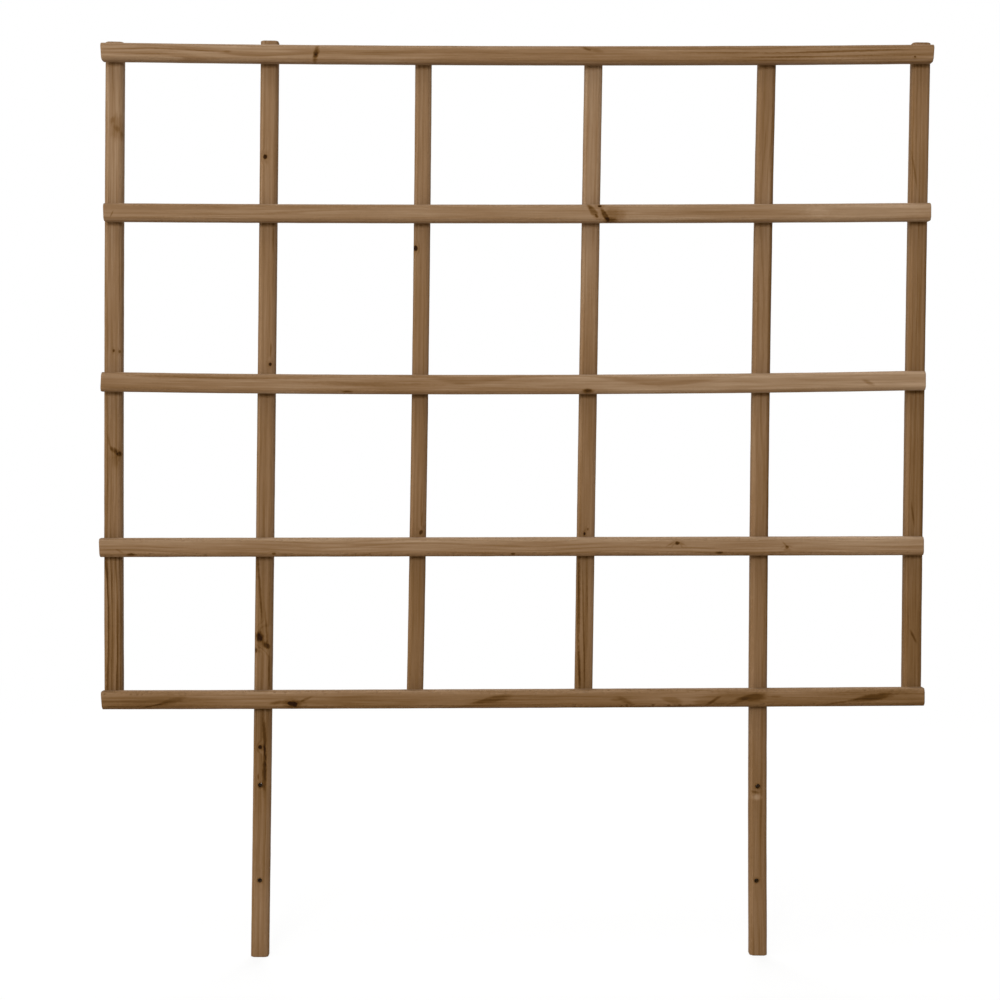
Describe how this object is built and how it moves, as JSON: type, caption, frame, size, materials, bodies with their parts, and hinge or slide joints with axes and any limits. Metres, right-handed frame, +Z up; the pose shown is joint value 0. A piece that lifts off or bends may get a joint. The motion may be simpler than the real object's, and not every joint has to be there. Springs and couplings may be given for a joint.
{
  "type": "wooden plant trellis panel",
  "caption": "Flat open lattice of rounded, brown-stained wooden rails stapled across uprights, two of which run on below as drilled legs; it holds climbing plants above a planter.",
  "frame": {"origin": "on the ground under the middle of the panel: z = 0 at the leg ends, y = 0 on the plane where rails and uprights touch, x = 0 at the middle of the overall width", "axes": "+Z up along the panel's height, +X to the right seen from the front, +Y to the back; the rails are the front layer"},
  "size_m": [0.9046, 0.038, 1.0001],
  "materials": {
    "stained_wood": "planed softwood with a brown garden stain, matt, the grain and knots showing",
    "staple_steel": "galvanised steel wire, dull"
  },
  "bodies": {
    "root": {"left_edge_upright": "stained_wood", "left_leg_upright": "stained_wood", "left_inner_upright": "stained_wood", "right_inner_upright": "stained_wood", "right_leg_upright": "stained_wood", "right_edge_upright": "stained_wood", "top_rail": "stained_wood", "upper_rail": "stained_wood", "middle_rail": "stained_wood", "lower_rail": "stained_wood", "bottom_rail": "stained_wood", "top_rail_staples": "staple_steel", "upper_rail_staples": "staple_steel", "middle_rail_staples": "staple_steel", "lower_rail_staples": "staple_steel", "bottom_rail_staples": "staple_steel"}
  },
  "joints": []
}
